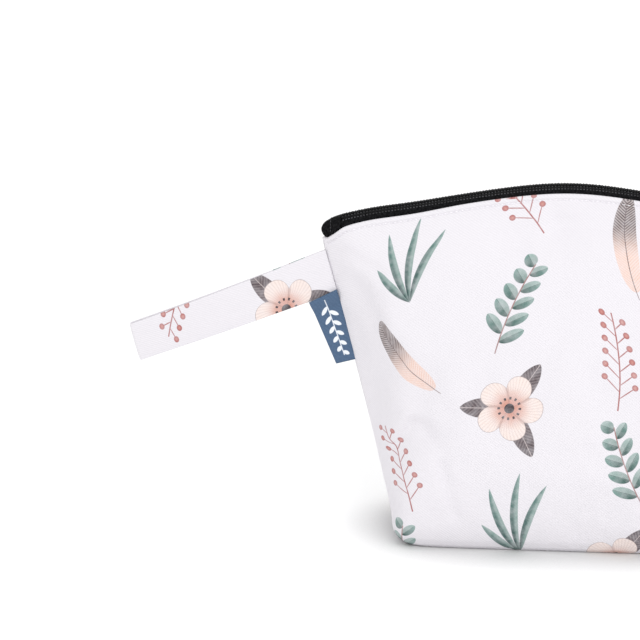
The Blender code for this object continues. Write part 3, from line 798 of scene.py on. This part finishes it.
def panel_rows(face):
    """The cloth of one face from the middle of the base up to the rim.

    Points of its outer and its inner side, their places on the flat cloth and the ways out of it.
    """
    even = np.linspace(-1.0, 1.0, 241)
    across = (even + np.sin(even * np.pi / 2)) / 2
    height = np.concatenate((
        np.linspace(0.000, 0.045, 18),
        np.linspace(0.045, 0.955, 112)[1:],
        np.linspace(0.955, 0.996, 26)[1:],
    ))
    wall = body_points(face, across[None, :], height[:, None])
    wall[..., 1] *= 1.0 + BASE_FULLNESS * np.exp(-height / FULLNESS_FADE)[:, None]
    floor = np.repeat(wall[:1], FLOOR_ROWS, axis=0)
    floor[..., 1] *= np.linspace(0.0, 1.0, FLOOR_ROWS)[:, None]
    points = np.concatenate((floor[:-1], wall))

    # How far each place is along the cloth and up it, and from its seams and its folded edge
    middle = len(across) // 2
    along = np.array([run_of(row) for row in points])
    up = run_of(points[:, middle])[:, None] + np.zeros_like(along)
    seam_gap = np.minimum(along, along[:, -1:] - along)
    rim_gap = up[-1] - up
    flat = np.stack((along - along[:, middle:middle + 1], -face * up), axis=-1)

    # The edge's sag, then what the sewing draws in or pushes out, then the cloth's own unevenness
    points[FLOOR_ROWS - 1:, :, 2] -= rim_sag(wall[..., 0]) * smooth_step(0.90, 1.0, height)[:, None]
    out = square_to(points) * -face
    x, z = points[..., 0], points[..., 2]
    shift = relief(ROLLED_EDGE, rim_gap)
    shift -= relief(HEM_GROOVE, rim_gap) * smooth_step(0.0, 0.005, seam_gap)
    shift -= relief(HEM_VALLEY, rim_gap) * smooth_step(0.002, 0.020, seam_gap)
    shift += waves(RIM_PUCKERS, x) * np.exp(-rim_gap / 0.007) * smooth_step(0.0, 0.004, rim_gap)
    shift += waves(SEAM_PUCKERS, z) * np.exp(-seam_gap / 0.006) * smooth_step(0.0, 0.0015, seam_gap)
    shift -= SEAM_DIP * np.exp(-seam_gap / 0.0007)
    shift -= relief(BOX_SEAM, z) * (1.0 - smooth_step(0.022, 0.032, seam_gap))
    soft = smooth_step(0.0, 0.012, seam_gap) * smooth_step(0.002, 0.015, z) * smooth_step(0.006, 0.030, rim_gap)
    shift += sum(depth * ripple(points, size, start) for depth, size, start in UNEVEN) * soft
    shift[:FLOOR_ROWS] = 0.0
    shift[:, [0, -1]] = 0.0
    points = points + out * shift[..., None]
    points[..., 1] = face * np.maximum(face * points[..., 1], 0.0)
    inner = points - out * CLOTH
    inner[..., 1] = face * np.clip(face * inner[..., 1], 0.0, 0.7 * face * points[..., 1])
    inner[..., 2] = np.maximum(inner[..., 2], CLOTH)
    return points, inner, flat, out


def cloth_panel(name, face, finish):
    points, inner, flat, _ = panel_rows(face)
    top, low = points[-1], inner[-1]
    middle = (top + low) / 2
    lift = unit(points[-1] - points[-2]) * CLOTH / 2
    rolls = [middle + (top - middle) * math.cos(turn) + lift * math.sin(turn)
             for turn in np.linspace(0.0, math.pi, 7)[1:-1]]
    rows = np.concatenate((points, np.array(rolls), inner[::-1]))
    flats = np.concatenate((flat, np.repeat(flat[-1:], len(rolls), axis=0), flat[::-1]))
    count, columns = rows.shape[:2]
    faces = grid_faces(count, columns, wrap_rows=True)
    for column in (0, columns - 1):
        for i in range(count // 2):
            j = count - 1 - i
            if i + 1 < j - 1:
                faces.append([i * columns + column, (i + 1) * columns + column,
                              (j - 1) * columns + column, j * columns + column])
    if face == BACK:
        faces = [quad[::-1] for quad in faces]
    piece = mesh_piece(name, rows.reshape(-1, 3), faces, finish, flats.reshape(-1, 2) * 1000.0)
    mesh = bmesh.new()
    mesh.from_mesh(piece.data)
    bmesh.ops.remove_doubles(mesh, verts=mesh.verts, dist=1e-6)
    bmesh.ops.recalc_face_normals(mesh, faces=mesh.faces)
    mesh.to_mesh(piece.data)
    mesh.free()
    piece.data.shade_smooth()
    return ride_as(piece, "bag_body")


def hem_stitches(name, face, finish):
    """The row of stitches that holds the tape under the cloth's folded edge."""
    points, _, flat, out = panel_rows(face)
    rim_gap = face * (flat[:, 0, 1] - flat[-1, 0, 1])
    line = np.array([point_at(HEM, rim_gap[::-1], points[::-1, i]) for i in range(points.shape[1])])
    run = run_of(line)
    ways_out = out[-12]      # of the row of points beside the stitches
    places = []
    for at in np.arange(0.012, run[-1] - 0.012, STITCH):
        point, ahead = point_at(at, run, line), point_at(at + 0.001, run, line)
        facing = point_at(at, run, ways_out)
        places.append(placing(point + facing * THREAD * 0.2, ahead - point, facing))
    piece = repeated(name, bead(STITCH * 0.78, THREAD, THREAD * 0.7), places, finish)
    return ride_as(piece, "bag_body")


def inside_points(face, across, height, inwards):
    """Points this far in from the cloth's outer side, square to it."""
    step = 0.002
    here = body_points(face, across, height)
    along = body_points(face, across + step, height) - body_points(face, across - step, height)
    down = here - body_points(face, across, height - step)
    return here - face * unit(np.cross(down, along)) * inwards


def tape_line(face):
    """Middle of one tape across its width, from beside the coil out over the edge and down inside the cloth."""
    reach = HALF - TAPE_INSET
    x = np.linspace(-reach, reach, 281)
    inwards = CLOTH + TUCK_GAP + TAPE / 2
    beside = np.full_like(x, face * (COIL_WIDTH / 2 + GAP))
    start = np.stack((x, beside, zip_line(x) - TAPE_STEP - TAPE / 2 + ZIP_LEAN * beside), -1)
    edge = inside_points(face, x / HALF, np.ones_like(x), inwards)
    knots = [start]
    for over_way, down_way in ((0.5, 0.08), (0.86, 0.42)):
        knots.append(start + (edge - start) * (over_way, over_way, down_way))
    for share in (0.05, 0.5, 1.0):
        knots.append(inside_points(face, x / HALF, 1.0 - share * TAPE_TUCK / rim_height(x), inwards))
    line = smooth_line(np.array(knots), 5)
    out = square_to(line.transpose(1, 0, 2)).transpose(1, 0, 2) * -face
    return x, line, out


def zip_tape(name, node, face, finish):
    """One woven tape."""
    x, line, out = tape_line(face)
    across = run_of(line[:, len(x) // 2])
    upper = line + out * (TAPE / 2 + relief(TAPE_RIDGE, across)[:, None, None])
    lower = line - out * TAPE / 2
    rows = np.concatenate((upper, lower[::-1])).transpose(1, 0, 2)
    flat_across = np.concatenate((across, across[::-1]))
    flat = np.stack(np.broadcast_arrays(x[:, None], flat_across[None, :]), -1) * 1000.0
    return ride_as(loft(name, rows, finish, flat), node)


def smooth_line(knots, parts):
    """A curve through each knot; knots run along the first axis."""
    ends = np.concatenate((2 * knots[:1] - knots[1:2], knots, 2 * knots[-1:] - knots[-2:-1]))
    pieces = []
    for i in range(1, len(ends) - 2):
        for u in np.arange(parts) / parts:
            before, low, high, after = ends[i - 1:i + 3]
            pieces.append(0.5 * (
                2 * low + (high - before) * u + (2 * before - 5 * low + 4 * high - after) * u**2
                + (3 * low - before - 3 * high + after) * u**3))
    pieces.append(knots[-1])
    return np.array(pieces)


def coil_turns(name, side, finish):
    """One half of the coil: a nylon wire wound into turns, whose heads lock with the other half's."""
    reach = HALF - COIL_INSET
    turns = int(2 * reach / COIL_PITCH)
    steps = 14
    angle = 2.0 * np.pi * np.arange(turns * steps + 1) / steps
    x = -reach + COIL_PITCH * (angle / (2.0 * np.pi) + (0.5 if side > 0 else 0.0))
    x = np.minimum(x, reach)
    wide = boxier(np.cos(angle), 0.6) * (COIL_WIDTH / 4 + HEADS_PAST - WIRE)
    high = boxier(np.sin(angle), 0.7) * (COIL_THICKNESS / 2 - WIRE)
    y = side * (COIL_WIDTH / 4 - COIL_CLEAR + wide)
    path = np.stack((x, y, zip_line(x) - COIL_THICKNESS / 2 + high + ZIP_LEAN * y), -1)
    return ride_as(loft(name, tube(path, WIRE, 6), finish), "zip_coil")


def tape_stitches(name, node, face, finish):
    """Two rows of stitches along a tape, one that sews the coil down and one on the tape."""
    reach = HALF - COIL_INSET
    x, line, out = tape_line(face)
    places = []
    for row, proud in ((1, 0.65), (8, 0.60)):
        for at in np.arange(-reach + COIL_PITCH, reach - COIL_PITCH, TAPE_STITCH):
            point, ahead = point_at(at, x, line[row]), point_at(at + 0.001, x, line[row])
            facing = point_at(at, x, out[row])
            places.append(placing(point + facing * TAPE * proud, ahead - point, facing))
    piece = repeated(name, bead(TAPE_STITCH * 0.56, 0.00072, 0.00025, 5, 6), places, finish)
    return ride_as(piece, node)


def side_seam(z):
    """The left side seam at this height above the floor."""
    return np.array((-float(half_width(z / SEAM_HEIGHT, z)), 0.0, z))


def strap_seam(width_share):
    return side_seam(SEAM_HEIGHT - STRAP_DROP - STRAP_WIDTH * width_share)


def strap_frame(share):
    """Middle of the strap at a share of its length, the way down its width, and the way out to the front."""
    along = np.array((-math.cos(STRAP_FALL), 0.0, -math.sin(STRAP_FALL)))
    seam = unit(strap_seam(1.0) - strap_seam(0.0))
    far = np.array((math.sin(STRAP_END_LEAN), 0.0, -math.cos(STRAP_END_LEAN)))
    turn = Matrix.Rotation(-STRAP_TWIST * float(smooth_step(0.0, 1.0, share)), 3, Vector(along))
    down = np.array(turn @ Vector(unit(seam + (far - seam) * share)))
    out = unit(np.cross(along, down))
    return along, down, out


def strap_point(share, width_share):
    along, down, _ = strap_frame(share)
    straight = strap_seam(0.5) + down * (width_share - 0.5) * STRAP_WIDTH
    settle = float(smooth_step(0.0, STRAP_SETTLE, share))
    seam = strap_seam(width_share)
    point = seam + (straight - seam) * settle + along * (GAP + STRAP_LENGTH * share)
    point[2] -= STRAP_SAG * math.sin(math.pi * min(1.0, max(0.0, share)))
    return point


def wrist_strap(name, finish):
    """A strip of the cloth with its edges folded in, doubled into a loop and sewn into the seam."""
    far = 1.0 - (STRAP_SLOT + STRAP_CLOTH) / 2 / STRAP_LENGTH
    stations = [(share, 0.0) for share in np.linspace(-INTO_SEAM, far, 120)]
    stations += [(far, turn) for turn in np.linspace(0.0, math.pi, 15)[1:-1]]
    stations += [(share, math.pi) for share in np.linspace(far, -INTO_SEAM, 120)]
    round_section = 2.0 * np.pi * (np.arange(44) + 0.5) / 44
    wide = boxier(np.cos(round_section), 0.55) / 2
    thick = boxier(np.sin(round_section), 0.5) / 2
    puff = thick * (STRAP_CLOTH - 2 * relief(STRAP_GROOVE, 0.5 - np.abs(wide)))
    rows = []
    for share, turn in stations:
        along, _, out = strap_frame(max(0.0, share))
        slot = GAP + (STRAP_SLOT - GAP) * float(smooth_step(0.0, STRAP_SETTLE, share))
        away = out * math.cos(turn) + along * math.sin(turn)
        middle_line = np.array([strap_point(share, w + 0.5) for w in wide])
        rows.append(middle_line + away * ((slot + STRAP_CLOTH) / 2 + puff)[:, None])
    rows = np.array(rows)
    travelled = run_of(rows.mean(axis=1))
    flat = np.stack(np.broadcast_arrays(travelled[:, None], wide[None, :] * STRAP_WIDTH + STRAP_CUT), -1)
    return ride_as(loft(name, rows, finish, flat * 1000.0), "wrist_strap")


def label_tab(name, finish):
    """A ribbon folded once at its outer edge, both ends in the seam, straight under the strap."""
    top = side_seam(strap_seam(1.0)[2] + LABEL_LAP)
    foot = side_seam(top[2] - LABEL_LENGTH)
    run = unit(foot - top)
    square = np.array((run[2], 0.0, -run[0]))
    dip = np.array(Matrix.Rotation(-LABEL_DIP, 3, "Y") @ Vector(square))
    outer_top = top + dip * LABEL_TOP_WIDTH
    outer_foot = foot + square * LABEL_FOOT_WIDTH
    bend = (LABEL_THICKNESS - RIBBON) / 2
    rearwards = np.array((0.0, 1.0, 0.0))
    fold = np.linspace(0.0, math.pi, 7)[1:-1]
    turn = np.concatenate((np.zeros(18), fold, np.full(18, math.pi)))[:, None]
    rows, flats = [], []
    for down in np.linspace(0.0, 1.0, 46):
        inner = top + (foot - top) * down
        outer = outer_top + (outer_foot - outer_top) * down
        wide = np.linalg.norm(outer - inner)
        way = (outer - inner) / wide
        # Out along the front, round the fold and back along the rear
        leg = np.linspace(-LABEL_INTO_SEAM, 1.0 - bend / wide, 18) * wide
        reach = np.concatenate((leg, wide - bend + bend * np.sin(fold), leg[::-1]))[:, None]
        line = inner + way * reach - rearwards * bend * np.cos(turn)
        line[:, 1] -= LABEL_LIFT * (1.0 - float(smooth_step(0.03, 0.22, down)))
        facing = way * np.sin(turn) - rearwards * np.cos(turn)
        rows.append(np.concatenate((line + facing * RIBBON / 2, (line - facing * RIBBON / 2)[::-1])))
        measure = np.concatenate((leg, np.full(len(fold), wide), leg[::-1]))
        measure = np.concatenate((measure, measure[::-1]))
        flats.append(np.stack((measure, np.full(len(measure), down * LABEL_LENGTH)), -1))
    return ride_as(loft(name, np.array(rows), finish, np.array(flats) * 1000.0), "label_tab")


# The folded tape end: how far in from the seam each section is, its top and its foot above the top of the
# seam, and its half width
NOSE = np.array((
    (0.0112, 0.0160, 0.0093, 0.0069),
    (0.0085, 0.0152, 0.0075, 0.0058),
    (0.0059, 0.0142, 0.0054, 0.0045),
    (0.0038, 0.0130, 0.0036, 0.0036),
    (0.0022, 0.0120, 0.0037, 0.0033),
    (0.0010, 0.0109, 0.0046, 0.0028),
    (0.0002, 0.0097, 0.0057, 0.0020),
    (-0.0003, 0.0086, 0.0068, 0.0011),
    (-0.0005, 0.0078, 0.0076, 0.0003),
))


def end_section(inset, turns):
    """A section of the folded tape end at this inset, as places across and heights."""
    rows = smooth_line(NOSE, 5)[::-1]
    top, low, wide = (float(np.interp(inset, rows[:, 0], rows[:, k])) for k in (1, 2, 3))
    upper = np.maximum(0.0, np.sin(turns)) ** 0.7
    lower = np.maximum(0.0, -np.sin(turns)) ** 0.5
    across = boxier(np.cos(turns), 0.6) * wide
    return across, SEAM_HEIGHT + low + (top - low) * upper - 0.0003 * lower


def tape_end(name, node, side, finish):
    """The tapes' ends, folded down over the corner of the cloth and sewn flat."""
    turns = 2.0 * np.pi * (np.arange(44) + 0.5) / 44
    rows, flats = [], []
    for inset in smooth_line(NOSE, 5)[:, 0]:
        across, height = end_section(inset, turns)
        rows.append(np.stack((np.full(len(turns), side * (HALF - inset)), across, height), -1))
        flats.append(np.stack((np.full(len(turns), inset), turns * END_THICKNESS), -1))
    rows = np.array(rows)
    if side > 0:
        rows = rows[:, ::-1]
    return ride_as(loft(name, rows, finish, np.array(flats) * 1000.0), node)


def end_stitches(name, node, side, finish):
    """A row of stitches over the tape end, from its front to its back."""
    turns = np.linspace(-0.05, math.pi + 0.05, 200)
    across, height = end_section(END_SEAM, turns)
    path = np.stack((np.full(len(turns), side * (HALF - END_SEAM)), across, height), -1)
    run = run_of(path)
    places = []
    for at in np.arange(0.0008, run[-1] - 0.0008, STITCH * 0.6):
        point, ahead = point_at(at, run, path), point_at(at + 0.0003, run, path)
        out = np.cross(ahead - point, (side, 0.0, 0.0)) * side
        out = out if out @ (point - path.mean(axis=0)) > 0.0 else -out
        places.append(placing(point + unit(out) * THREAD * 0.3, ahead - point, out))
    piece = repeated(name, bead(STITCH * 0.45, THREAD, THREAD * 0.5), places, finish)
    return ride_as(piece, node)


def zip_slider(finish):
    """The plain solid itself, as the photo's edge hides the slider."""
    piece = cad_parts["zip_slider"]
    piece.data.materials.clear()
    piece.data.materials.append(finish)


cloth = printed_twill("printed_polyester_twill")
# The paler second colour of each thread is a painted glint along its twist.
thread = spun_thread("white_spun_thread", "#e3e0e6", "#f6f4f7")
dark_thread = spun_thread("black_spun_thread", "#1c1c1f", "#47474b")
tape = woven_tape("black_herringbone_tape")
nylon = nylon_wire("black_nylon_monofilament")
enamel = enamelled_zinc("black_enamelled_zinc")
ribbon = jacquard_ribbon("blue_jacquard_ribbon")

cloth_panel("cloth_front", FRONT, cloth)
cloth_panel("cloth_back", BACK, cloth)
hem_stitches("hem_stitches_front", FRONT, thread)
hem_stitches("hem_stitches_back", BACK, thread)
zip_tape("tape_front", "zip_tape_front", FRONT, tape)
zip_tape("tape_back", "zip_tape_back", BACK, tape)
coil_turns("coil_front", FRONT, nylon)
coil_turns("coil_back", BACK, nylon)
tape_stitches("tape_stitches_front", "zip_tape_front", FRONT, dark_thread)
tape_stitches("tape_stitches_back", "zip_tape_back", BACK, dark_thread)
tape_end("tape_end_left", "zip_end_left", -1, tape)
tape_end("tape_end_right", "zip_end_right", 1, tape)
end_stitches("end_stitches_left", "zip_end_left", -1, dark_thread)
end_stitches("end_stitches_right", "zip_end_right", 1, dark_thread)
zip_slider(enamel)
wrist_strap("strap_loop", cloth)
label_tab("side_label", ribbon)

# Floor, light and camera
bpy.ops.mesh.primitive_plane_add(size=12.0, location=(0.0, 0.0, -0.0004))
floor = bpy.context.active_object
floor.name = "floor"
floor.data.materials.append(white_floor("matt_white_sweep"))

world = bpy.data.worlds.new("white_studio")
bpy.context.scene.world = world
world.use_nodes = True
world.node_tree.nodes["Background"].inputs["Color"].default_value = (1.0, 1.0, 1.0, 1.0)
world.node_tree.nodes["Background"].inputs["Strength"].default_value = 1.07


def softbox(name, place, aim, size, power):
    data = bpy.data.lights.new(name, "AREA")
    data.shape = "SQUARE"
    data.size = size
    data.energy = power
    lamp = bpy.data.objects.new(name, data)
    lamp.location = place
    lamp.rotation_euler = (Vector(aim) - Vector(place)).to_track_quat("-Z", "Y").to_euler()
    bpy.context.scene.collection.objects.link(lamp)


softbox("key", (1.3, -2.3, 1.9), (0.0, 0.0, 0.1), 2.4, 26.0)

azimuth, elevation, distance = math.radians(5.0), math.radians(15.0), 1.28
aside, above = -0.1437, 0.1248      # from the middle of the base to the middle of the picture
back = Vector((
    math.sin(azimuth) * math.cos(elevation), -math.cos(azimuth) * math.cos(elevation), math.sin(elevation)))
right = Vector((math.cos(azimuth), math.sin(azimuth), 0.0))
up = back.cross(right)
data = bpy.data.cameras.new("camera")
data.lens = 120.0
data.sensor_width = 36.0
camera = bpy.data.objects.new("camera", data)
camera.matrix_world = Matrix.Translation(right * aside + up * above + back * distance) @ Matrix(
    (right, up, back)).transposed().to_4x4()
bpy.context.scene.collection.objects.link(camera)
bpy.context.scene.camera = camera
bpy.context.scene.view_settings.view_transform = "Standard"
